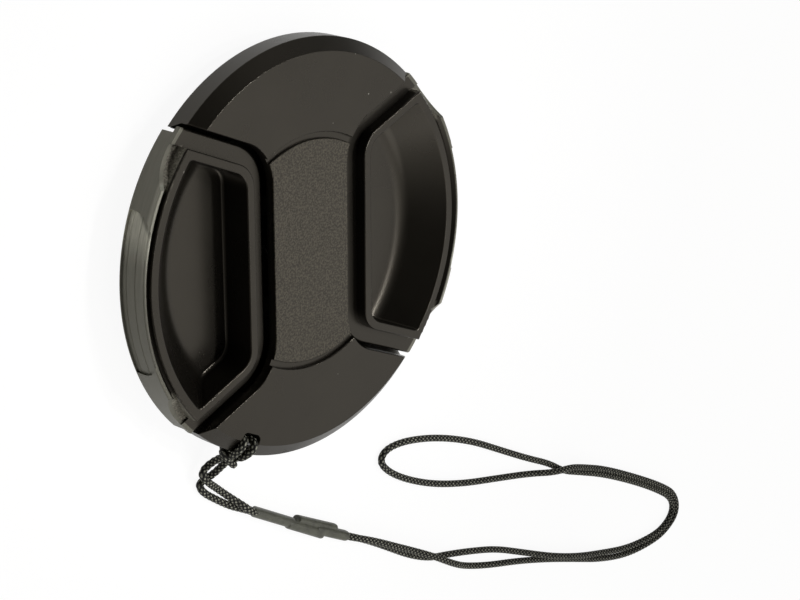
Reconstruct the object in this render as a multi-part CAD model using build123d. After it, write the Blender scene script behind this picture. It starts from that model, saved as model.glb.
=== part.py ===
from build123d import *
import math
import os

os.makedirs("parts", exist_ok=True)

# A centre-pinch lens cap with a leash, lying on its back: the face looks up along +Z,
# the grips slide along X, and the leash leaves on the -Y side. All sizes are millimetres.

# Driving dimensions
thread_radius = 29.0
insert_depth = 3.0
rim_height = 3.3
bevel_rise = 1.7
slot_angle = 23.5
waist_half_width = 7.3
pinch_travel = 1.2
leash_offset_angle = 26.5
cord_diameter = 1.2
edge_round = 0.15

# Radii around the cap's axis
rim_radius = thread_radius + 2.0
grip_radius = rim_radius + 0.5
face_radius = rim_radius - 1.95
insert_radius = thread_radius - 0.7
ring_inner_radius = insert_radius - 2.0
ledge_radius = insert_radius - 1.3
skirt_radius = rim_radius - 1.4
label_radius = waist_half_width + 9.3
label_ring_radius = label_radius + 0.9

# Heights above the floor
edge_z = insert_depth + rim_height
face_z = edge_z + bevel_rise
plate_z = face_z - 1.5
label_z = face_z - 0.15
label_ring_z = face_z - 0.6
frame_z = edge_z - 0.25
waist_under_z = frame_z + 0.3
lip_z = face_z - 0.1
rim_top_z = face_z
back_plate_z = 0.4
ledge_z = back_plate_z + 1.0
grip_under_z = ledge_z + 0.2
pocket_floor_z = grip_under_z + 1.15
spring_z = ledge_z + 1.8
sill_z = frame_z - 0.95
sill_foot_z = sill_z - 1.6
frame_under_z = sill_z + 0.1

# Outlines: the slot in the face, then the grip's frame, lip and pocket inside it.
# Each is a straight waist and two diagonals; "rise" is where a diagonal would cross x = 0.
slope = math.tan(math.radians(slot_angle))
slot_rise = waist_half_width + 5.9
slot_corner = 7.4
skirt_thickness = 1.2
sill_width = 1.0
closing_gap = pinch_travel * slope + 0.1
frame_waist = waist_half_width + 0.7
frame_rise = slot_rise - closing_gap
frame_corner = slot_corner - 0.6
frame_round = 2.4 * edge_round
lip_waist = waist_half_width + 3.55
lip_rise = slot_rise - 3.36
lip_corner = 4.2
pocket_waist = lip_waist + 1.4
pocket_rise = lip_rise - 1.45
pocket_corner = 2.9

# Grip details
lip_outer_radius = rim_radius - 0.9
lip_inner_radius = lip_outer_radius - 1.35
lip_round = 1.6 * edge_round
rim_round = 1.3 * edge_round
pocket_slope = 46.0
pocket_sweep = 3.3
pocket_round = 0.5
groove_z = rim_top_z - 0.75
rim_top_width = 0.5
rim_root_z = frame_z - 0.5
scoop_radius = 7.0
scoop_z = frame_z - 0.3
scoop_y = 0.645 * rim_radius
relief_half_angle = 21.8
relief_depth = 0.3
relief_low_z = insert_depth + 0.15
relief_high_z = rim_top_z + 0.5
relief_corner = 4.0
ridge_count = 3
ridge_height = 0.07
ridge_half_width = 4 * ridge_height
clip_half_angle = 19.0
clip_inner_radius = insert_radius - 0.9
clip_outer_radius = insert_radius + 0.6
clip_low_z = 0.3

# Springs and the posts that hold the back plate
spine_half_width = 1.0
spine_half_length = 5.0
tongue_inset = spine_half_length + 1.0
tongue_width = 3.0
stub_radius = 0.7
stub_length = 1.0
coil_radius = 1.1
wire_radius = 0.2
coil_turns = 4
post_radius = 2.0
peg_radius = 1.2
post_x = waist_half_width + 0.7
post_y = ring_inner_radius - 5.3

# Leash
hole_radius = rim_radius - 2.28
hole_width = cord_diameter + 2.2
hole_depth = cord_diameter + 0.85
leash_angle = 270 - leash_offset_angle
sleeve_heading = -28.95
sleeve_length = 24.9
barrel_width = cord_diameter + 0.45
barrel_height = 2 * cord_diameter + 0.35
cord_radius = cord_diameter / 2

reach = 2 * rim_radius
tall = 4 * face_z


def prism(outline, low, high):
    return Pos(0, 0, low) * extrude(outline, high - low)


def disc(radius, low, high):
    return prism(Circle(radius), low, high)


def tube(inner, outer, low, high):
    ring = Circle(outer) - Circle(inner)
    return prism(ring, low, high)


def slot_outline(waist, rise, corner):
    wide = rise + slope * reach
    narrow = rise + slope * waist
    outline = Polygon((waist, -narrow), (reach, -wide), (reach, wide), (waist, narrow), align=None)
    return fillet(outline.vertices().sort_by(Axis.X)[:2], corner)


def sector_outline(rise):
    wide = rise + slope * reach
    return Polygon((0, rise), (reach, wide), (reach, reach), (-reach, reach), (-reach, wide), align=None)


def fan(half_angle):
    wide = reach * math.tan(math.radians(half_angle))
    return Polygon((0, 0), (reach, -wide), (reach, wide), align=None)


def spun(*points):
    return revolve(Plane.XZ * make_face(Polyline(*points, close=True)), Axis.Z)


def both_sides(solid):
    return solid + Rot(0, 0, 180) * solid


def level_edges(solid, z):
    def is_level(edge):
        box = edge.bounding_box()
        return abs(box.min.Z - z) < 0.001 and abs(box.max.Z - z) < 0.001

    return solid.edges().filter_by(is_level)


# Front shell: bevelled disc, thinned to walls, with the two grip slots cut through.
# A sloping sill low in each slot runs under the grip's frame and closes the gap beside it.
front_shell = spun(
    (0, 0),
    (insert_radius - 0.4, 0),
    (insert_radius, 0.4),
    (insert_radius, insert_depth),
    (rim_radius, insert_depth),
    (rim_radius, edge_z),
    (face_radius, face_z),
    (0, face_z),
)
slot_area = slot_outline(waist_half_width, slot_rise, slot_corner)
sill_area = slot_outline(waist_half_width, slot_rise - sill_width, slot_corner)
slot = prism(slot_area, sill_z, tall) + prism(sill_area, -1, sill_foot_z)
slot += loft([Pos(0, 0, sill_foot_z) * sill_area, Pos(0, 0, sill_z) * slot_area], ruled=True)
front_shell -= both_sides(slot)
inside_rise = slot_rise + skirt_thickness / math.cos(math.radians(slot_angle))
inside = prism(sector_outline(inside_rise), -1, plate_z)
hollow = inside & disc(ring_inner_radius, -1, plate_z)
hollow += inside & tube(insert_radius, skirt_radius, -1, plate_z)
front_shell -= both_sides(hollow)
undercut_x = waist_half_width + 5.3
undercut_y = slot_rise + slope * undercut_x + 0.8
front_shell -= prism(Rectangle(2 * undercut_x, 2 * undercut_y), -1, waist_under_z)
front_shell -= disc(ledge_radius, -1, ledge_z)

# Label field: a plateau in a shallow ring channel, a little under the face
front_shell -= prism(Circle(label_ring_radius) - Circle(label_radius), label_ring_z, tall)
front_shell -= disc(label_radius, label_z, tall)

# Posts and pegs for the back plate, and the spine between the springs
posts = GridLocations(2 * post_x, 2 * post_y, 2, 2)
for place in posts:
    front_shell += place * disc(post_radius, ledge_z, plate_z)
    front_shell += place * disc(peg_radius, back_plate_z, ledge_z)
spine = prism(Rectangle(2 * spine_half_width, 2 * spine_half_length), ledge_z, waist_under_z)
stub = Pos(spine_half_width, 0, spring_z) * Rot(0, 90, 0) * extrude(Circle(stub_radius), stub_length)
front_shell += spine + both_sides(stub)

# Leash hole through the rim's inner side, with the insert ring notched behind it
leash_turn = Rot(0, 0, leash_angle)
leash_hole = RectangleRounded(hole_depth, hole_width, 0.7)
front_shell -= leash_turn * Pos(hole_radius, 0, 0) * prism(leash_hole, -1, tall)
notch_width = skirt_radius - ledge_radius
notch_place = Pos((skirt_radius + ledge_radius) / 2, 0, 0)
front_shell -= leash_turn * notch_place * prism(Rectangle(notch_width, hole_width + 2), -1, plate_z - 1.5)

# The edges seen from the front are a little rounded
shell_edges = level_edges(front_shell, face_z) + level_edges(front_shell, label_z)
shell_edges += level_edges(front_shell, edge_z)
shell_edges += front_shell.edges().filter_by(GeomType.HYPERBOLA).filter_by_position(Axis.Z, edge_z, face_z)
front_shell = fillet(shell_edges, edge_round)

# Back plate: a disc on the pegs, relieved where the clips travel
clip_path = prism(fan(clip_half_angle + 3), -1, tall)
clip_path &= Pos(-pinch_travel - 0.3, 0, 0) * tube(clip_inner_radius, reach, -1, tall)
back_plate = disc(ledge_radius - 0.05, back_plate_z, ledge_z)
back_plate -= both_sides(clip_path)
for place in posts:
    back_plate -= place * disc(peg_radius, -1, tall)

# Right grip: flat frame with hooked tongues under the waist, raised lip around the finger
# pocket, outer rim and thread clip
frame_area = slot_outline(frame_waist, frame_rise, frame_corner)
lip_area = slot_outline(lip_waist, lip_rise, lip_corner)
pocket_area = slot_outline(pocket_waist, pocket_rise, pocket_corner)
frame_foot = slot_outline(frame_waist, frame_rise - sill_width, frame_corner)
right_grip = prism(frame_area, frame_under_z, frame_z)
right_grip = fillet(level_edges(right_grip, frame_z).sort_by(Axis.X)[:-1], frame_round)
right_grip += prism(frame_foot, grip_under_z, frame_under_z)
right_grip &= disc(grip_radius, insert_depth, tall) + disc(ring_inner_radius - 0.3, 0, tall)
lip = prism(lip_area, frame_z, lip_z) & disc(lip_outer_radius, 0, tall)
right_grip += fillet(level_edges(lip, lip_z), lip_round)
tongue_tip = pinch_travel + 0.8
tongue_root = frame_waist + 1
hook_x = waist_half_width - 1.2
hook_foot_z = frame_z - 2.2
tongue = Polygon(
    (tongue_tip, grip_under_z),
    (tongue_root, grip_under_z),
    (tongue_root, hook_foot_z),
    (hook_x, hook_foot_z),
    (hook_x, frame_z),
    (tongue_tip, frame_z),
    align=None,
)
tongue = Pos(0, -tongue_inset, 0) * extrude(Plane.XZ * tongue, tongue_width)
right_grip += tongue + mirror(tongue, Plane.XZ)

# The rim behind the lip rises to a rounded edge and slopes down to a groove beside the lip
grip_rim = Polygon(
    (lip_outer_radius - 0.4, rim_root_z),
    (grip_radius, rim_root_z),
    (grip_radius, rim_top_z),
    (grip_radius - rim_top_width, rim_top_z),
    (lip_outer_radius + 0.2, groove_z),
    (lip_outer_radius - 0.4, groove_z),
    align=None,
)
grip_rim = fillet(grip_rim.vertices().group_by(Axis.Y)[-1], rim_round)
grip_rim = revolve(Plane.XZ * grip_rim, Axis.Z)
scoop = Pos(0, scoop_y, scoop_z + scoop_radius) * Rot(0, 90, 0) * extrude(Circle(scoop_radius), reach)
scoop += mirror(scoop, Plane.XZ)
grip_rim &= prism(lip_area, 0, tall)
crescent = (prism(lip_area, scoop_z, tall) & scoop) & tube(lip_outer_radius, reach, 0, tall)
right_grip = (right_grip + grip_rim) - crescent

# Finger pocket: flat floor that sweeps up to the outer lip
rise_run = (lip_z - pocket_floor_z) / math.tan(math.radians(pocket_slope))
bowl = Polygon(
    (0, pocket_floor_z),
    (lip_inner_radius - rise_run, pocket_floor_z),
    (lip_inner_radius, lip_z),
    (lip_inner_radius, tall),
    (0, tall),
    align=None,
)
bowl_foot = bowl.vertices().sort_by_distance((lip_inner_radius - rise_run, pocket_floor_z))[0]
bowl = revolve(Plane.XZ * fillet(bowl_foot, pocket_sweep), Axis.Z)
pocket = bowl & prism(pocket_area, 0, tall)
pocket_floor = pocket.faces().sort_by(Axis.Z)[0]
right_grip -= fillet(pocket_floor.edges().filter_by(GeomType.LINE), pocket_round)
lip_faces = right_grip.faces().filter_by_position(Axis.Z, lip_z - 0.01, lip_z + 0.01)
lip_face = lip_faces.sort_by(SortBy.AREA)[-1]
right_grip = fillet(lip_face.inner_wires()[0].edges(), lip_round)

# Ridged relief on the rim, and the clip that springs into the filter thread
relief_floor = grip_radius - relief_depth
relief = tube(relief_floor, reach, relief_low_z, relief_high_z)
ridge_pitch = (relief_high_z - relief_low_z) / ridge_count
for number in range(ridge_count):
    ridge_z = relief_low_z + (number + 0.5) * ridge_pitch
    relief -= spun(
        (relief_floor - ridge_height, ridge_z - ridge_half_width),
        (relief_floor + ridge_height, ridge_z),
        (relief_floor - ridge_height, ridge_z + ridge_half_width),
    )
relief_side = grip_radius * math.sin(math.radians(relief_half_angle))
relief_area = Polygon(
    (-relief_side, relief_low_z),
    (relief_side, relief_low_z),
    (relief_side, relief_high_z),
    (-relief_side, relief_high_z),
    align=None,
)
relief_area = fillet(relief_area.vertices().group_by(Axis.Y)[-1], relief_corner)
right_grip -= relief & extrude(Plane.YZ * relief_area, reach)
clip = spun(
    (clip_inner_radius, clip_low_z),
    (clip_outer_radius - 0.5, clip_low_z),
    (clip_outer_radius, clip_low_z + 0.7),
    (clip_outer_radius - 0.5, clip_low_z + 1.3),
    (clip_outer_radius - 0.5, insert_depth + 0.2),
    (clip_inner_radius, insert_depth + 0.2),
)
right_grip += clip & prism(fan(clip_half_angle), 0, tall)
grip_stub = Pos(frame_waist - stub_length, 0, spring_z) * Rot(0, 90, 0)
right_grip += grip_stub * extrude(Circle(stub_radius), stub_length)
left_grip = Rot(0, 0, 180) * right_grip

# Return springs, one from the spine to each grip
spring_run = frame_waist - spine_half_width - 2 * wire_radius
coil = Helix(spring_run / coil_turns, spring_run, coil_radius)
wire_profile = Plane(coil @ 0, z_dir=coil % 0) * Circle(wire_radius)
spring = sweep(wire_profile, path=coil)
right_spring = Pos(spine_half_width + wire_radius, 0, spring_z) * Rot(0, 90, 0) * spring
left_spring = Rot(0, 0, 180) * right_spring

# The leash is laid out from the point of the rim below the hole, so it follows the rim
heading = math.radians(leash_angle)
root_x = rim_radius * math.cos(heading)
root_y = rim_radius * math.sin(heading)


def by_rim(out, side, z):
    x = root_x + out * math.cos(heading) - side * math.sin(heading)
    y = root_y + out * math.sin(heading) + side * math.cos(heading)
    return (x, y, z)


def on_floor(points):
    # The third value counts the cords lying underneath
    floor_z = cord_radius + 0.02
    return [(root_x + x, root_y + y, floor_z + level * (cord_diameter + 0.05)) for x, y, level in points]


def cord(points):
    # Each corner is rounded as far as its shorter run allows
    knots = [Vector(*point) for point in points]
    radii = []
    for before, here, after in zip(knots, knots[1:], knots[2:]):
        turn = math.radians((here - before).get_angle(after - here))
        shorter = min((here - before).length, (after - here).length)
        radii.append(0.45 * shorter / math.tan(turn / 2))
    route = FilletPolyline(*knots, radius=radii)
    return sweep(Plane(route @ 0, z_dir=route % 0) * Circle(cord_radius), path=route), radii, route.length


# Hitch: each strand climbs the rim, drops through the hole and comes back under the rim,
# and the bight lies across both strands outside
def hitch_strand(side):
    near = side * 0.6 * cord_diameter
    wide = side * 1.8 * cord_diameter
    clear = cord_radius + 0.15
    under_z = insert_depth - cord_radius
    return [
        by_rim(3.2, near, cord_radius + 0.02),
        by_rim(1.35, near, under_z - 0.1),
        by_rim(clear, near, insert_depth + 0.9),
        by_rim(clear + 0.08, near, edge_z + 0.45),
        by_rim(-1.5, near, face_z + cord_radius + 0.06),
        by_rim(-2.65, near, face_z - 0.4),
        by_rim(-2.15, near, under_z - 0.12),
        by_rim(-0.6, 1.5 * near, under_z - 0.08),
        by_rim(1.2, wide, under_z),
        by_rim(3.2, wide, under_z + 0.15),
    ]


low_strand = on_floor([
    (7.23, -13.56, 0.06),
    (5.48, -12.59, 0.06),
    (2.53, -11.76, 0),
    (-1.57, -8.36, 0),
    (-3.07, -6.46, 0),
    (-3.07, -4.46, 0),
])
high_strand = on_floor([
    (-1.62, -4.56, 0),
    (-1.27, -6.06, 0),
    (0.63, -7.86, 0),
    (3.23, -10.46, 0.65),
    (5.48, -12.59, 1.1),
    (7.23, -13.56, 1.1),
])
hitch_points = low_strand + hitch_strand(-1) + hitch_strand(1)[::-1] + high_strand
hitch_cord, hitch_radii, hitch_length = cord(hitch_points)

# Wrist loop: out along the floor, a doubled run, an open end loop, and back the same way
wrist_points = on_floor([
    (29.02, -25.61, 1.1),
    (30.77, -26.58, 1.1),
    (33.61, -27.64, 0.98),
    (37.21, -29.4, 0.1),
    (42.83, -32.66, 0),
    (46.83, -34.96, 1),
    (51.83, -38.16, 1),
    (56.33, -40.66, 0),
    (62.33, -42.66, 0),
    (69.83, -44.76, 0),
    (77.83, -47.46, 0),
    (85.93, -50.26, 0),
    (93.93, -52.96, 0),
    (101.73, -54.86, 0),
    (108.63, -55.26, 0),
    (114.03, -54.96, 0),
    (118.13, -51.46, 0),
    (116.93, -47.06, 0),
    (111.73, -43.36, 0),
    (103.83, -38.96, 0),
    (94.63, -34.26, 0),
    (87.63, -31.46, 0),
    (82.83, -29.86, 1),
    (78.43, -29.86, 1),
    (72.83, -28.66, 0),
    (63.83, -26.66, 0),
    (55.53, -24.86, 0),
    (47.83, -22.46, 0),
    (41.33, -19.46, 0),
    (37.03, -16.66, 0),
    (35.13, -14.26, 0),
    (36.63, -12.56, 0),
    (41.33, -12.56, 0),
    (48.83, -14.46, 0),
    (57.33, -17.86, 0),
    (65.33, -22.16, 0),
    (72.33, -25.76, 0),
    (78.33, -28.46, 0),
    (82.43, -31.16, 0),
    (87.03, -32.86, 0),
    (94.03, -35.56, 0),
    (103.23, -40.16, 0),
    (110.93, -44.46, 0),
    (115.83, -47.96, 0),
    (116.63, -51.06, 0),
    (113.43, -53.66, 0),
    (108.53, -53.96, 0),
    (101.93, -53.56, 0),
    (94.33, -51.66, 0),
    (86.33, -48.96, 0),
    (78.83, -46.16, 0),
    (70.83, -42.96, 0),
    (64.13, -40.16, 0),
    (57.33, -38.16, 0),
    (51.33, -36.66, 0),
    (47.33, -35.86, 0),
    (42.43, -34.06, 0),
    (36.58, -30.53, 0),
    (33.18, -28.42, 0),
    (30.77, -26.58, 0.06),
    (29.02, -25.61, 0.06),
])
wrist_cord, wrist_radii, wrist_length = cord(wrist_points)


# Sleeve: a moulded joint of four short barrels that grips both strands of each cord
def barrel(start, end, shift):
    face = Plane.YZ * SlotOverall(barrel_height, barrel_width, rotation=90)
    solid = extrude(face, end - start)
    solid = chamfer(solid.edges().group_by(Axis.X)[0] + solid.edges().group_by(Axis.X)[-1], 0.2)
    return Pos(start, shift, barrel_height / 2) * solid


cord_sleeve = barrel(0, 10.2, 0)
cord_sleeve += barrel(7.7, 18.2, -0.35)
cord_sleeve += barrel(9.6, 21.0, 0.35)
cord_sleeve += barrel(17.6, sleeve_length, 0)
cord_sleeve = Pos(root_x + 7.23, root_y - 13.56, 0) * Rot(0, 0, sleeve_heading) * cord_sleeve

nodes = {
    "front_shell": front_shell,
    "back_plate": back_plate,
    "left_grip": left_grip,
    "right_grip": right_grip,
    "left_spring": left_spring,
    "right_spring": right_spring,
    "cord_sleeve": cord_sleeve,
    "hitch_cord": hitch_cord,
    "wrist_cord": wrist_cord,
}
for name, solid in nodes.items():
    export_step(solid, f"parts/{name}.step")
    print(name, "solids", len(solid.solids()), "volume", round(solid.volume, 1))
print("hitch cord radii", [round(value, 2) for value in hitch_radii], "length", round(hitch_length, 1))
print("wrist cord radii", [round(value, 2) for value in wrist_radii], "length", round(wrist_length, 1))
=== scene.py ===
import math

import bmesh
import bpy
from mathutils import Matrix, Vector


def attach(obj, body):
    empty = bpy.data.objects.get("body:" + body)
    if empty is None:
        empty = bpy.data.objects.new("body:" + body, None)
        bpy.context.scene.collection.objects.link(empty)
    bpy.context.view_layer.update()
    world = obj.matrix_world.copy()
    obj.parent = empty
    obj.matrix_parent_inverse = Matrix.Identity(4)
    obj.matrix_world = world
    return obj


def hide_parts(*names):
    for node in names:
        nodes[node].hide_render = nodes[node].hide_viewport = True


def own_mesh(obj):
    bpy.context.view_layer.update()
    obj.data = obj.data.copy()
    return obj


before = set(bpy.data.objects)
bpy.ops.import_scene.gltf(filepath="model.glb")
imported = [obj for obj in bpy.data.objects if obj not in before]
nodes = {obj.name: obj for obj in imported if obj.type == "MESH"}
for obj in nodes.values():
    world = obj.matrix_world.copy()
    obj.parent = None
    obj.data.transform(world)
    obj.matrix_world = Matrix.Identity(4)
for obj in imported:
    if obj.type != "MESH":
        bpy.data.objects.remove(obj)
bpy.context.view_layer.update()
scene = bpy.context.scene
scene.view_settings.view_transform = "Standard"
mm = 0.001
print("frame loaded:", len(nodes), "nodes")


def addObject(name, data):
    item = bpy.data.objects.new(name, data)
    scene.collection.objects.link(item)
    return item


def plainMesh(holder):
    # the finished shape of an object as a plain mesh, after which the object goes
    bpy.context.view_layer.update()
    graph = bpy.context.evaluated_depsgraph_get()
    mesh = bpy.data.meshes.new_from_object(holder.evaluated_get(graph), depsgraph=graph)
    bpy.data.objects.remove(holder)
    return mesh


# Camera, fitted to the outlines of the rim, the slots and the label ring
shot = {
    "location": (-193.9 * mm, 90.51 * mm, 209.56 * mm),
    "turnX": 0.337,
    "turnY": 0.811,
    "turnZ": -0.001,
    "lens": 91.65,
    "sensor": 36.0,
    "near": 0.01,
    "far": 20.0,
}


def placeCamera():
    data = bpy.data.cameras.new("shotCamera")
    data.lens = shot["lens"]
    data.sensor_width = shot["sensor"]
    data.clip_start = shot["near"]
    data.clip_end = shot["far"]
    camera = addObject("shotCamera", data)
    toCamera = Matrix.Rotation(shot["turnZ"], 3, "Z")
    toCamera = toCamera @ Matrix.Rotation(shot["turnX"], 3, "X")
    toCamera = toCamera @ Matrix.Rotation(shot["turnY"], 3, "Y")
    camera.matrix_world = Matrix.Translation(shot["location"]) @ toCamera.transposed().to_4x4()
    scene.camera = camera


placeCamera()
print("camera placed")


# A wire is one socket of a node tree, so that node sums are written as plain sums
class Wire:
    def __init__(self, tree, socket=None):
        self.tree = tree
        self.socket = socket

    def make(self, kind, settings=None, sockets=None, output=0):
        node = self.tree.nodes.new(kind)
        for name, value in (settings or {}).items():
            setattr(node, name, value)
        for name, value in (sockets or {}).items():
            plug(node.inputs[name], value)
        return Wire(self.tree, node.outputs[output])

    def beside(self, output):
        return Wire(self.tree, self.socket.node.outputs[output])  # another output of the same node

    def sum(self, operation, *values, clamp=False):
        settings = {"operation": operation, "use_clamp": clamp}
        return self.make("ShaderNodeMath", settings, dict(enumerate(values)))

    def __add__(self, other):
        return self.sum("ADD", self, other)

    def __radd__(self, other):
        return self.sum("ADD", other, self)

    def __sub__(self, other):
        return self.sum("SUBTRACT", self, other)

    def __rsub__(self, other):
        return self.sum("SUBTRACT", other, self)

    def __mul__(self, other):
        return self.sum("MULTIPLY", self, other)

    def __rmul__(self, other):
        return self.sum("MULTIPLY", other, self)

    def __truediv__(self, other):
        return self.sum("DIVIDE", self, other)

    def __pow__(self, other):
        return self.sum("POWER", self, other)

    def over(self, low, high):
        # 0 below low, 1 above high, smooth between
        settings = {"interpolation_type": "SMOOTHSTEP"}
        return self.make("ShaderNodeMapRange", settings, {"Value": self, "From Min": low, "From Max": high})

    def under(self, low, high):
        return 1 - self.over(low, high)

    def magnitude(self):
        return self.sum("ABSOLUTE", self)

    def cosine(self):
        return self.sum("COSINE", self * math.pi)  # counted in half turns

    def nearest(self):
        return self.sum("ROUND", self)

    def towards(self, way):
        settings = {"operation": "DOT_PRODUCT"}
        return self.make("ShaderNodeVectorMath", settings, {0: self, 1: way}, output="Value")


def plug(socket, value):
    if isinstance(value, Wire):
        value.tree.links.new(value.socket, socket)
    else:
        socket.default_value = value


def newFinish(name):
    material = bpy.data.materials.new(name)
    material.use_nodes = True
    shader = material.node_tree.nodes["Principled BSDF"]
    place = Wire(material.node_tree).make("ShaderNodeTexCoord", output="Object")
    return material, shader, place


def setShader(shader, values):
    for name, value in values.items():
        plug(shader.inputs[name], value)


def rgb(red, green, blue):
    # sRGB 0-255 to the linear colour that Blender works in
    def linear(value):
        value = value / 255
        return value / 12.92 if value <= 0.04045 else ((value + 0.055) / 1.055) ** 2.4

    return (linear(red), linear(green), linear(blue), 1.0)


def blendColours(factor, first, second):
    settings = {"data_type": "RGBA"}
    return factor.make("ShaderNodeMix", settings, {0: factor, 6: first, 7: second}, output=2)


def noise(place, size, detail=2.0, roughness=0.5):
    sockets = {"Vector": place, "Scale": 1 / size, "Detail": detail, "Roughness": roughness}
    return place.make("ShaderNodeTexNoise", None, sockets)


def bumpFrom(height):
    return height.make("ShaderNodeBump", None, {"Strength": 1.0, "Distance": 1.0, "Height": height})


def axes(place):
    x = place.make("ShaderNodeSeparateXYZ", None, {0: place})
    return x, x.beside("Y"), x.beside("Z")


# Where the finishes of the plastic end, each as the two limits of a fade
fades = {
    "labelRadius": (16.4 * mm, 16.6 * mm),
    "labelHeight": (7.55 * mm, 7.7 * mm),
    "crescentInner": (29.5 * mm, 29.7 * mm),
    "crescentOuter": (30.95 * mm, 31.1 * mm),
    "crescentStart": (14.2 * mm, 14.8 * mm),
    "crescentEnd": (19.6 * mm, 19.9 * mm),
    "crescentFoot": (4.4 * mm, 4.6 * mm),
    "crescentTop": (7.5 * mm, 7.7 * mm),
    "wallRadius": (30.85 * mm, 31.0 * mm),
    "wallFoot": (2.7 * mm, 3.0 * mm),
}


def labelField(x, y, z, radius):
    return radius.under(*fades["labelRadius"]) * z.over(*fades["labelHeight"])


def crescents(x, y, z, radius):
    between = radius.over(*fades["crescentInner"]) * radius.under(*fades["crescentOuter"])
    inside = y.magnitude().over(*fades["crescentStart"]) * y.magnitude().under(*fades["crescentEnd"])
    return between * inside * z.over(*fades["crescentFoot"]) * z.under(*fades["crescentTop"])


def outerWall(x, y, z, radius):
    return radius.over(*fades["wallRadius"]) * z.over(*fades["wallFoot"])


def nowhere(x, y, z, radius):
    return z.over(1.0, 2.0)  # metres away from the cap


# Paler places on the outer wall of a grip, streaked: a painted reflection patch, a painted highlight along
# the upper edge and a little of the whole wall
wallSheenAndWear = {
    "patch": 0.8,
    "patchFade": (4.0 * mm, 11.2 * mm),
    "patchEnd": (11.7 * mm, 11.8 * mm),
    "slant": 1.12,
    "slantEnd": (17.3 * mm, 18.2 * mm),
    "edge": 0.3,
    "edgeHeight": (6.9 * mm, 7.5 * mm),
    "edgeFade": (-2.0 * mm, 11.0 * mm),
    "wall": 0.08,
    "wallFade": (-9.0 * mm, 10.0 * mm),
    "least": 0.03,
    "streakSize": 0.3 * mm,
    "streakStretch": (0.1, 0.1, 1.0),
    "streakLow": 0.4,
    "streakGain": 1.2,
}


def sheenAndWearShare(place, x, y, z):
    stretch = {0: place, 1: wallSheenAndWear["streakStretch"]}
    drawn = place.make("ShaderNodeVectorMath", {"operation": "MULTIPLY"}, stretch)
    streak = noise(drawn, wallSheenAndWear["streakSize"], detail=3.0, roughness=0.6)
    along = 0 - y * x.sum("SIGN", x)  # the same for both grips, half a turn apart
    # painted reflection: the wall is lighter in a patch near one end
    patch = along.over(*wallSheenAndWear["patchFade"]) * along.under(*wallSheenAndWear["patchEnd"])
    patch = patch * (z + along * wallSheenAndWear["slant"]).under(*wallSheenAndWear["slantEnd"])  # its upper end is cut off slanting
    # painted highlight along the wall's upper edge
    edge = z.over(*wallSheenAndWear["edgeHeight"]) * along.over(*wallSheenAndWear["edgeFade"])
    # a little lighter over the whole wall, more towards the patch
    paleShare = wallSheenAndWear["least"] + wallSheenAndWear["wall"] * along.over(*wallSheenAndWear["wallFade"])
    paleShare = paleShare + wallSheenAndWear["patch"] * patch + wallSheenAndWear["edge"] * edge
    return paleShare * (wallSheenAndWear["streakLow"] + wallSheenAndWear["streakGain"] * streak)


facePlastic = {
    "dark": rgb(20, 18, 15),
    "pale": rgb(25, 23, 19),
    "cloudSize": 9 * mm,
    "cloudFade": (0.3, 0.7),
    "grainWhere": labelField,
    "grainDark": rgb(12, 11, 9),
    "grainPale": rgb(71, 67, 57),
    "grainFade": (0.38, 0.66),
    "grainSize": 0.3 * mm,
    "grainDepth": 0.05 * mm,
    "grainRoughness": 0.2,
    "wallWhere": nowhere,
    # the grip wall's grey is partly its own rubbed tone and partly a painted reflection of the floor;
    # wallPale is the colour of the painted reflection patch and edge highlight
    "wallDark": rgb(96, 96, 87),
    "wallPale": rgb(212, 211, 196),
    "wallRoughness": 0.12,
    "satinSize": 0.09 * mm,
    "satinDepth": 0.002 * mm,
    "dust": 0.7,
    "dustColour": rgb(150, 148, 140),
    "dustSize": 5 * mm,
    "dustFade": (0.02, 0.035),
    "roughness": 0.28,
    "roughnessSpread": 0.08,
    "ior": 1.52,
    "sheen": (1.0, 0.91, 0.76, 1.0),
}
gripPlastic = dict(facePlastic, grainWhere=crescents, wallWhere=outerWall)
# the crescents' grain is painted far paler than the plastic: painted light standing in for the light their
# textured scoops catch, over real grain
gripPlastic["grainDark"] = rgb(84, 82, 74)
gripPlastic["grainPale"] = rgb(132, 129, 117)
gripPlastic["grainDepth"] = 0.004 * mm
backPlastic = dict(facePlastic, grainWhere=nowhere, roughness=0.5)


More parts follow.
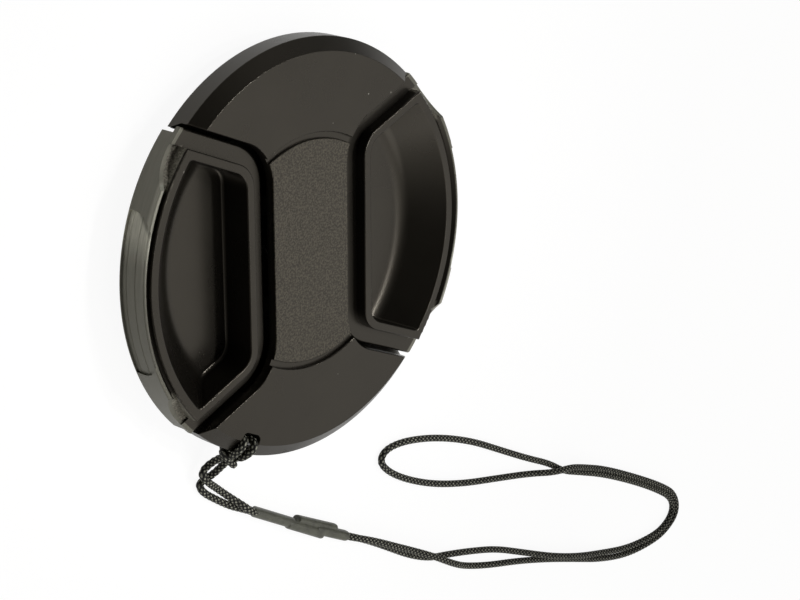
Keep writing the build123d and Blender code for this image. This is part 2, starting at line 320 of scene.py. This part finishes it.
def finishPlastic(name, recipe):
    material, shader, place = newFinish(name)
    x, y, z = axes(place)
    radius = (x * x + y * y) ** 0.5
    grainMask = recipe["grainWhere"](x, y, z, radius)
    wallMask = recipe["wallWhere"](x, y, z, radius)
    satin = noise(place, recipe["satinSize"], detail=3.0)
    grain = noise(place, recipe["grainSize"], roughness=0.6)
    cloud = noise(place, recipe["cloudSize"], detail=3.0)
    spots = {"Vector": place, "Scale": 1 / recipe["dustSize"]}
    dust = place.make("ShaderNodeTexVoronoi", {"feature": "F1"}, spots).under(*recipe["dustFade"])
    tone = blendColours(cloud.over(*recipe["cloudFade"]), recipe["dark"], recipe["pale"])
    grainTone = blendColours(grain.over(*recipe["grainFade"]), recipe["grainDark"], recipe["grainPale"])
    tone = blendColours(grainMask, tone, grainTone)
    # the grip wall: its grey, with a painted reflection patch and a painted highlight on the upper edge
    wallTone = blendColours(sheenAndWearShare(place, x, y, z), recipe["wallDark"], recipe["wallPale"])
    tone = blendColours(wallMask, tone, wallTone)
    tone = blendColours(dust * recipe["dust"], tone, recipe["dustColour"])
    rough = recipe["roughness"] + (cloud - 0.5) * recipe["roughnessSpread"]
    rough = rough + grainMask * recipe["grainRoughness"] + wallMask * recipe["wallRoughness"]
    height = satin * recipe["satinDepth"] + grain * grainMask * recipe["grainDepth"]
    setShader(shader, {
        "Base Color": tone,
        "Roughness": rough,
        "Normal": bumpFrom(height),
        "IOR": recipe["ior"],
        "Specular Tint": recipe["sheen"],
    })
    return material


def setFinish(node, material):
    for slot in nodes[node].material_slots:
        slot.material = material


setFinish("front_shell", finishPlastic("facePlastic", facePlastic))
gripFinish = finishPlastic("gripPlastic", gripPlastic)
setFinish("left_grip", gripFinish)
setFinish("right_grip", gripFinish)
setFinish("back_plate", finishPlastic("backPlastic", backPlastic))
print("plastic finished")

# Springs: merged copies that ride the cap body, long and pinch in millimetres, from which a kept share is
# worked out that nothing uses
springSteel = {
    "colour": rgb(84, 84, 83),
    "roughness": 0.3,
    "roughnessSpread": 0.15,
    "drawSize": 0.05 * mm,
    "long": 7.0,
    "pinch": 1.2,
    "merge": 0.001 * mm,
}


def finishSteel():
    material, shader, place = newFinish("springSteel")
    draw = noise(place, springSteel["drawSize"])
    setShader(shader, {
        "Base Color": springSteel["colour"],
        "Roughness": springSteel["roughness"] + draw * springSteel["roughnessSpread"],
        "Metallic": 1.0,
    })
    return material


def mergedCopy(node, name):
    shape = bmesh.new()
    shape.from_mesh(nodes[node].data)
    bmesh.ops.remove_doubles(shape, verts=shape.verts, dist=springSteel["merge"])
    mesh = bpy.data.meshes.new(name)
    shape.to_mesh(mesh)
    shape.free()
    return mesh


steelFinish = finishSteel()


def makeSpring(node, name):
    mesh = mergedCopy(node, name)
    mesh.materials.clear()
    mesh.materials.append(steelFinish)
    spring = addObject(name, mesh)
    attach(spring, "cap_body")
    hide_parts(node)
    keep = 1 - springSteel["pinch"] / springSteel["long"]
    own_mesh(spring)


makeSpring("left_spring", "leftSpring")
makeSpring("right_spring", "rightSpring")
print("springs made")

# Leash: route points measured from the rim under the hole, in millimetres
leash = {
    "rimRadius": 31.0,
    "angle": math.radians(243.5),
    "diameter": 1.2,
    "floorGap": 0.02,
    "stackGap": 0.05,
    "smoothness": 16,
}
outward = (math.cos(leash["angle"]), math.sin(leash["angle"]))
leashRoot = (leash["rimRadius"] * outward[0], leash["rimRadius"] * outward[1])


def byRim(points):
    # each point: away from the rim, along the rim, height
    placed = []
    for out, side, z in points:
        x = leashRoot[0] + out * outward[0] - side * outward[1]
        y = leashRoot[1] + out * outward[1] + side * outward[0]
        placed.append((x, y, z))
    return placed


def onFloor(points):
    # the third value counts the cords lying underneath
    lowest = leash["diameter"] / 2 + leash["floorGap"]
    step = leash["diameter"] + leash["stackGap"]
    return [(leashRoot[0] + x, leashRoot[1] + y, lowest + level * step) for x, y, level in points]


hitchRoute = onFloor([
    (8.2, -14.1, 0.06),
    (5.6, -12.62, 0.02),
    (3.1, -11.3, 0),
    (0.2, -9.2, 0),
    (-2.1, -7.4, 0),
    (-2.9, -5.9, 0),
])
hitchRoute += byRim([
    (5.6, 0.7, 0.65),
    (4.5, 1.5, 1.3),
    (3.1, 1.4, 2.4),
    (1.8, 1.1, 3.6),
    (0.95, 0.8, 4.9),  # up the wall, over the bevel and into the hole
    (0.5, 0.85, 6.75),
    (-1.4, 0.75, 8.4),
    (-2.6, 0.85, 7.4),
    (-2.15, 0.8, 2.28),
    (-0.5, 1.5, 2.32),
    (0.9, 1.9, 2.6),  # the bight lies across both strands
    (1.9, 1.9, 3.9),
    (2.0, 1.0, 5.3),
    (1.65, -0.2, 5.4),
    (0.7, -1.9, 5.7),
    (0.6, -1.3, 4.4),
    (0.62, 0.5, 2.9),
    (-0.5, 0.4, 2.32),
    (-2.15, -0.5, 2.28),
    (-2.6, -1.05, 7.4),
    (-1.4, -1.6, 8.4),
    (0.5, -1.2, 6.75),
    (1.0, -0.7, 4.9),
    (1.6, -0.35, 3.5),
    (2.7, -0.3, 2.1),
    (3.9, -1.0, 1.75),
    (4.9, -1.35, 1.95),
    (5.7, 0.3, 1.95),
    (6.4, 3.4, 0.8),
])
hitchRoute += onFloor([
    (2.6, -9.5, 0.2),
    (4.8, -11.5, 0.95),
    (6.1, -12.75, 0.95),
    (8.2, -14.1, 0.72),
])
wristRoute = onFloor([
    (25.9, -23.9, 0.72),
    (28.6, -25.2, 0.85),
    (31.4, -26.5, 0.95),
    (34.2, -27.95, 0.95),
    (37.6, -29.85, 0.85),
    (42.83, -32.75, 0.6),
    (46.83, -34.96, 1),
    (51.83, -38.16, 1),
    (56.33, -40.66, 0),
    (62.33, -42.66, 0),
    (69.83, -44.6, 0),
    (77.83, -47.1, 0),
    (85.93, -50.0, 0),
    (93.93, -52.96, 0),
    (101.73, -54.86, 0),
    (108.63, -55.1, 0),
    (114.03, -54.4, 0),
    (118.13, -51.46, 0),
    (116.93, -47.06, 0),
    (111.73, -43.6, 0),
    (103.83, -39.35, 0),
    (94.63, -34.8, 0),
    (87.63, -32.05, 0.4),
    (82.83, -30.3, 1),
    (78.43, -29.86, 1),
    (72.83, -28.66, 0),
    (63.83, -26.66, 0),
    (55.53, -24.86, 0),
    (47.83, -22.46, 0),
    (41.33, -19.46, 0),
    (37.03, -16.66, 0),
    (35.13, -14.26, 0),
    (36.63, -12.56, 0),
    (41.33, -12.56, 0),
    (48.83, -14.3, 0),
    (57.33, -17.6, 0),
    (65.33, -21.9, 0),
    (72.33, -25.6, 0),
    (78.33, -28.46, 0),
    (82.43, -31.3, 0),
    (87.1, -33.0, 0),
    (94.15, -35.7, 0),
    (103.35, -40.15, 0),
    (111.1, -44.42, 0),
    (116.05, -47.8, 0),
    (116.63, -51.06, 0),
    (113.43, -53.5, 0),
    (108.53, -53.96, 0),
    (101.93, -53.56, 0),
    (94.33, -51.7, 0.15),
    (86.33, -49.3, 0.7),
    (78.83, -46.6, 0.7),
    (70.83, -43.15, 0.1),
    (64.13, -40.16, 0),
    (57.33, -38.16, 0),
    (51.33, -36.66, 0),
    (47.33, -35.86, 0),
    (42.43, -33.65, 0),
    (36.9, -30.15, 0),
    (33.4, -27.95, 0),
    (29.6, -25.8, 0.02),
    (25.9, -23.9, 0.06),
])


def routeLine(name, points):
    # the smooth line of a cord, as a chain of edges
    data = bpy.data.curves.new(name, "CURVE")
    data.dimensions = "3D"
    data.resolution_u = leash["smoothness"]
    spline = data.splines.new("NURBS")
    spline.points.add(len(points) - 1)
    for point, place in zip(spline.points, points):
        point.co = (place[0] * mm, place[1] * mm, place[2] * mm, 1)
    spline.order_u = 3
    spline.use_endpoint_u = True
    spline.resolution_u = leash["smoothness"]
    return plainMesh(addObject(name, data))


# Braid: yarns wound both ways, each crown passing over one yarn and under the next
braid = {
    "yarnsEachWay": 5,
    "pointsAround": 30,
    "lead": 4.6 * mm,
    "step": 0.125 * mm,
    "radius": 0.48 * mm,
    "crown": 0.06 * mm,
    "weave": 0.055 * mm,
}


class NodeBench:
    # builds one Geometry Nodes tree
    def __init__(self, name):
        self.tree = bpy.data.node_groups.new(name, "GeometryNodeTree")
        self.tree.is_modifier = True
        self.tree.interface.new_socket("Geometry", in_out="INPUT", socket_type="NodeSocketGeometry")
        self.tree.interface.new_socket("Geometry", in_out="OUTPUT", socket_type="NodeSocketGeometry")
        self.inputs = {}
        self.entry = self.tree.nodes.new("NodeGroupInput")
        self.geometry = Wire(self.tree, self.entry.outputs[0])

    def size(self, name, kind="NodeSocketFloat"):
        item = self.tree.interface.new_socket(name, in_out="INPUT", socket_type=kind)
        self.inputs[name] = item.identifier
        return Wire(self.tree, self.entry.outputs[item.identifier])

    def store(self, geometry, name, value):
        settings = {"data_type": "FLOAT", "domain": "POINT"}
        sockets = {"Geometry": geometry, "Name": name, "Value": value}
        return geometry.make("GeometryNodeStoreNamedAttribute", settings, sockets)

    def recall(self, name):
        return self.geometry.make("GeometryNodeInputNamedAttribute", {"data_type": "FLOAT"}, {"Name": name})

    def finish(self, result):
        end = self.tree.nodes.new("NodeGroupOutput")
        plug(end.inputs[0], result)


def braidTree():
    bench = NodeBench("braidTree")
    names = ["lead", "step", "radius", "crown", "weave"]
    size = {name: bench.size(name) for name in names}
    yarnsEachWay = bench.size("yarnsEachWay", "NodeSocketInt")
    pointsAround = bench.size("pointsAround", "NodeSocketInt")
    finish = bench.size("finish", "NodeSocketMaterial")
    route = bench.geometry.make("GeometryNodeMeshToCurve", None, {"Mesh": bench.geometry})
    evenSteps = {"Curve": route, "Length": size["step"]}
    line = route.make("GeometryNodeResampleCurve", {"mode": "LENGTH"}, evenSteps)
    line = bench.store(line, "along", line.make("GeometryNodeSplineParameter", output="Length"))
    ringSizes = {"Resolution": pointsAround, "Radius": size["radius"]}
    ring = route.make("GeometryNodeCurvePrimitiveCircle", None, ringSizes)
    ring = bench.store(ring, "turn", ring.make("GeometryNodeSplineParameter", output="Factor"))
    tubeParts = {"Curve": line, "Profile Curve": ring, "Fill Caps": True}
    tube = line.make("GeometryNodeCurveToMesh", None, tubeParts)
    climb = bench.recall("along") / size["lead"]
    turn = bench.recall("turn")
    leftYarn = (turn + climb) * yarnsEachWay  # whole numbers are the middles of the yarns
    rightYarn = (turn - climb) * yarnsEachWay
    leftCrown = (leftYarn - leftYarn.nearest()).cosine()
    rightCrown = (rightYarn - rightYarn.nearest()).cosine()
    leftOver = rightYarn.cosine() * leftYarn.nearest().cosine()
    rightOver = 0 - leftYarn.cosine() * rightYarn.nearest().cosine()
    leftHeight = leftCrown * size["crown"] + leftOver * size["weave"]
    rightHeight = rightCrown * size["crown"] + rightOver * size["weave"]
    height = leftHeight.sum("MAXIMUM", leftHeight, rightHeight)
    fullHeight = size["crown"] + size["weave"]
    tube = bench.store(tube, "yarnHeight", height / fullHeight)
    rise = {0: tube.make("GeometryNodeInputNormal"), "Scale": bench.recall("yarnHeight") * fullHeight}
    lift = tube.make("ShaderNodeVectorMath", {"operation": "SCALE"}, rise)
    cord = tube.make("GeometryNodeSetPosition", None, {"Geometry": tube, "Offset": lift})
    cord = cord.make("GeometryNodeSetShadeSmooth", None, {"Geometry": cord})
    cord = cord.make("GeometryNodeRealizeInstances", None, {"Geometry": cord})
    bench.finish(cord.make("GeometryNodeSetMaterial", None, {"Geometry": cord, "Material": finish}))
    return bench


cordYarn = {
    # the gap colour is painted shade between the yarns
    "gap": rgb(5, 5, 4),
    "yarn": rgb(30, 30, 27),
    "yarnFade": (0.25, 0.7),
    # the crown colour is a painted highlight on the top of each yarn
    "crown": rgb(184, 184, 168),
    "crownFade": (0.66, 0.98),
    "patchSize": 0.6 * mm,
    "patchFade": (0.3, 0.6),
    "patchGain": 0.6,
    "fibreSize": 0.06 * mm,
    "fibreDepth": 0.01 * mm,
    "fibreRoughness": 0.2,
    "fibreLow": 0.5,
    "roughness": 0.45,
    "gloss": 0.2,
}


def finishCord():
    material, shader, place = newFinish("cordYarn")
    height = place.make("ShaderNodeAttribute", {"attribute_name": "yarnHeight"}, output="Fac")
    fibre = noise(place, cordYarn["fibreSize"])
    patch = noise(place, cordYarn["patchSize"]).over(*cordYarn["patchFade"])
    # painted shade: darker where the braid is low, between the yarns
    tone = blendColours(height.over(*cordYarn["yarnFade"]), cordYarn["gap"], cordYarn["yarn"])
    # painted highlights on the crowns, stronger in random patches
    highlightStrength = 1 - cordYarn["patchGain"] + cordYarn["patchGain"] * patch
    crownHighlight = height.over(*cordYarn["crownFade"]) * highlightStrength * (cordYarn["fibreLow"] + fibre)
    setShader(shader, {
        "Base Color": blendColours(crownHighlight, tone, cordYarn["crown"]),
        "Roughness": cordYarn["roughness"] + cordYarn["fibreRoughness"] * fibre,
        "Normal": bumpFrom(fibre * cordYarn["fibreDepth"]),
        "Specular IOR Level": cordYarn["gloss"],
    })
    return material


cordFinish = finishCord()
braidBench = braidTree()


def grow(name, base, bench, values, finish):
    # runs a node tree on a base mesh and keeps its result as a plain mesh
    holder = addObject(name, base)
    modifier = holder.modifiers.new("grow", "NODES")
    modifier.node_group = bench.tree
    for key, value in values.items():
        modifier[bench.inputs[key]] = value
    modifier[bench.inputs["finish"]] = finish
    mesh = plainMesh(holder)
    mesh.name = name
    return addObject(name, mesh)


def makeBraid(name, route):
    line = routeLine(name + "Route", route)
    path = [tuple(vertex.co) for vertex in line.vertices]
    piece = grow(name, line, braidBench, braid, cordFinish)
    length = sum((Vector(b) - Vector(a)).length for a, b in zip(path, path[1:]))
    print(name, "length", round(length / mm, 1), "mm,", len(piece.data.polygons), "faces")
    return piece, path, length


hitchCord, hitchPath, hitchLength = makeBraid("hitchCord", hitchRoute)
wristCord, wristPath, wristLength = makeBraid("wristCord", wristRoute)

# Sleeve: four soft barrels fused into one moulding, sizes in millimetres
sleeve = {
    "heading": math.radians(-28.95),
    "start": (7.23, -13.56),
    "barrels": (
        {"from": -0.2, "to": 9.4, "side": (0.14, -0.12), "wide": 1.7, "tall": 2.2, "lean": 0.6},
        {"from": 8.1, "to": 16.7, "side": (-0.28, -0.52), "wide": 1.75, "tall": 2.3, "lean": 0.4},
        {"from": 10.0, "to": 19.3, "side": (0.5, 0.66), "wide": 1.65, "tall": 1.9, "lean": 0.0},
        {"from": 14.5, "to": 22.3, "side": (-0.1, 0.04), "wide": 1.7, "tall": 2.2, "lean": 0.0},
    ),
    "endRound": 0.4,
    "endShare": 0.8,
    "endAngles": (0, 25, 45, 65, 90),
    "fullness": 2.3,
    "pointsAround": 28,
    "grain": 0.08,
    "softenShare": 0.5,
    "softenTimes": 3,
    "colour": rgb(74, 75, 65),
    "pale": rgb(99, 100, 87),
    "cloudSize": 1.6 * mm,
    "cloudFade": (0.3, 0.7),
    "fineSize": 0.18 * mm,
    "fineDepth": 0.02 * mm,
    "roughness": 0.38,
    "roughnessSpread": 0.2,
}


def squarish(value):
    # a sine or cosine, swollen so that the circle it draws has fuller corners
    return math.copysign(abs(value) ** (2 / sleeve["fullness"]), value)


def barrelRing(seat, at, barrel, scale):
    points = []
    share = (at - barrel["from"]) / (barrel["to"] - barrel["from"])
    shift = barrel["side"][0] + share * (barrel["side"][1] - barrel["side"][0])
    for number in range(sleeve["pointsAround"]):
        angle = 2 * math.pi * number / sleeve["pointsAround"]
        side = squarish(math.cos(angle)) * barrel["wide"] / 2 * scale
        up = squarish(math.sin(angle)) * barrel["tall"] / 2 * scale
        along = at - barrel["lean"] * up
        points.append(seat @ Vector((along * mm, (shift + side) * mm, (barrel["tall"] / 2 + up) * mm)))
    return points


def addBarrel(shape, seat, barrel):
    endShare = sleeve["endShare"]
    ends = []
    for degrees in sleeve["endAngles"]:
        angle = math.radians(degrees)
        inset = sleeve["endRound"] * (1 - math.cos(angle))
        ends.append((inset, endShare + (1 - endShare) * math.sin(angle)))
    stations = [(barrel["from"] + inset, scale) for inset, scale in ends]
    stations += [(barrel["to"] - inset, scale) for inset, scale in reversed(ends)]
    rings = []
    for at, scale in stations:
        rings.append([shape.verts.new(point) for point in barrelRing(seat, at, barrel, scale)])
    for first, second in zip(rings, rings[1:]):
        for number in range(len(first)):
            after = (number + 1) % len(first)
            shape.faces.new((first[number], first[after], second[after], second[number]))
    shape.faces.new(rings[0])
    shape.faces.new(rings[-1][::-1])


def finishSleeve():
    material, shader, place = newFinish("sleeveRubber")
    cloud = noise(place, sleeve["cloudSize"], detail=4.0, roughness=0.6)
    fine = noise(place, sleeve["fineSize"])
    setShader(shader, {
        "Base Color": blendColours(cloud.over(*sleeve["cloudFade"]), sleeve["colour"], sleeve["pale"]),
        "Roughness": sleeve["roughness"] + sleeve["roughnessSpread"] * (fine - 0.5),
        "Normal": bumpFrom(fine * sleeve["fineDepth"]),
    })
    return material


def makeSleeve():
    startX = (leashRoot[0] + sleeve["start"][0]) * mm
    startY = (leashRoot[1] + sleeve["start"][1]) * mm
    seat = Matrix.Translation((startX, startY, 0)) @ Matrix.Rotation(sleeve["heading"], 4, "Z")
    shape = bmesh.new()
    for barrel in sleeve["barrels"]:
        addBarrel(shape, seat, barrel)
    bmesh.ops.recalc_face_normals(shape, faces=shape.faces)
    mesh = bpy.data.meshes.new("cordSleeve")
    shape.to_mesh(mesh)
    shape.free()
    holder = addObject("cordSleeve", mesh)
    fuse = holder.modifiers.new("fuse", "REMESH")
    fuse.mode = "VOXEL"
    fuse.voxel_size = sleeve["grain"] * mm
    fuse.use_smooth_shade = True
    soften = holder.modifiers.new("soften", "SMOOTH")
    soften.factor = sleeve["softenShare"]
    soften.iterations = sleeve["softenTimes"]
    fused = plainMesh(holder)
    fused.materials.clear()
    fused.materials.append(finishSleeve())
    print("sleeve made:", len(fused.polygons), "faces")
    return addObject("cordSleeve", fused)


cordSleeve = makeSleeve()
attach(cordSleeve, "cap_body")
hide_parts("cord_sleeve")
for piece, node in ((hitchCord, "hitch_cord"), (wristCord, "wrist_cord")):
    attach(piece, "cap_body")
    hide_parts(node)
print("leash made")

# Stage: a white floor that keeps the shadow, a pale room and three lamps
stage = {
    "floorSize": 3.0,
    "floorColour": (0.86, 0.86, 0.85, 1.0),
    "white": (1.0, 1.0, 1.0, 1.0),
    "whiteGlow": 1.08,
    "whiteShare": 0.86,
    "whiteInGloss": 0.5,
}


def rayKind(start, name):
    return start.make("ShaderNodeLightPath", output=name)


def makeFloor():
    mesh = bpy.data.meshes.new("floor")
    half = stage["floorSize"] / 2
    corners = [(-half, -half, 0), (half, -half, 0), (half, half, 0), (-half, half, 0)]
    mesh.from_pydata(corners, [], [(0, 1, 2, 3)])
    floor = addObject("floor", mesh)
    material = bpy.data.materials.new("floorWhite")
    material.use_nodes = True
    tree = material.node_tree
    tree.nodes.clear()
    start = Wire(tree)
    matt = start.make("ShaderNodeBsdfDiffuse", None, {"Color": stage["floorColour"]})
    glow = start.make("ShaderNodeEmission", None, {"Color": stage["white"], "Strength": stage["whiteGlow"]})
    # the camera sees the floor white, also through a clear piece, and a gloss sees it half white
    seen = rayKind(start, "Is Camera Ray") + rayKind(start, "Is Transmission Ray")
    inGloss = rayKind(start, "Is Glossy Ray") * stage["whiteInGloss"]
    share = seen.sum("ADD", seen, inGloss, clamp=True) * stage["whiteShare"]
    both = start.make("ShaderNodeMixShader", None, {0: share, 1: matt, 2: glow})
    end = tree.nodes.new("ShaderNodeOutputMaterial")
    plug(end.inputs["Surface"], both)
    mesh.materials.append(material)


# Room: white to the camera, and to everything else a sky that is dark behind the camera
room = {
    "colour": (1.0, 0.985, 0.955, 1.0),
    "horizonNear": 0.6,
    "horizonFar": 0.25,
    "farTowards": (0.9, 0.43, 0.0),
    "farFade": (-0.2, 0.6),
    "pale": 0.81,
    "paleFade": (0.08, 0.55),
    "overhead": 1.2,
    "overheadFade": (0.72, 0.96),
    "backDim": 0.55,
    "backTowards": (0.35, 0.94, 0.0),
    "backFade": (0.0, 0.6),
    "dark": 0.06,
    "darkTowards": (-0.68, 0.33, 0.65),
    "darkFade": (0.2, 0.88),
}


def makeRoom():
    world = bpy.data.worlds.new("room")
    scene.world = world
    world.use_nodes = True
    tree = world.node_tree
    tree.nodes.clear()
    start = Wire(tree)
    direction = start.make("ShaderNodeTexCoord", output="Generated")
    up = axes(direction)[2]
    far = direction.towards(room["farTowards"]).over(*room["farFade"])
    back = direction.towards(room["backTowards"]).over(*room["backFade"])
    lit = direction.towards(room["darkTowards"]).under(*room["darkFade"])
    horizon = room["horizonNear"] + far * (room["horizonFar"] - room["horizonNear"])
    level = horizon + up.over(*room["paleFade"]) * (room["pale"] - horizon)
    level = level + up.over(*room["overheadFade"]) * (room["overhead"] - room["pale"])
    level = level * (1 - room["backDim"] * back)
    level = level * (room["dark"] + lit * (1 - room["dark"]))
    camera = rayKind(start, "Is Camera Ray")
    level = camera + (1 - camera) * level
    shade = start.make("ShaderNodeBackground", None, {"Color": room["colour"], "Strength": level})
    end = tree.nodes.new("ShaderNodeOutputWorld")
    plug(end.inputs["Surface"], shade)


# Lamps: a soft panel, and two narrow lamps on the cap alone that draw its edges
lamps = {
    "nearPanel": {"kind": "AREA", "at": (-0.1, -0.75, 0.65), "size": 0.5, "power": 0.7},
    "edgeLamp": {"kind": "SPOT", "at": (0.42, 0.25, 0.87), "size": 0.06, "power": 17.0},
    "bevelLamp": {"kind": "SPOT", "at": (0.38, -0.03, 0.92), "size": 0.05, "power": 10.0},
}
cone = {"angle": math.radians(5.2), "blend": 0.3}


def makeLamps():
    for name, values in lamps.items():
        data = bpy.data.lights.new(name, values["kind"])
        data.energy = values["power"]
        if values["kind"] == "AREA":
            data.size = values["size"]
        else:
            data.shadow_soft_size = values["size"]
            data.spot_size = cone["angle"]
            data.spot_blend = cone["blend"]
        lamp = addObject(name, data)
        lamp.location = values["at"]
        lamp.rotation_euler = (-Vector(values["at"])).to_track_quat("-Z", "Y").to_euler()


makeFloor()
makeRoom()
makeLamps()
print("stage set")
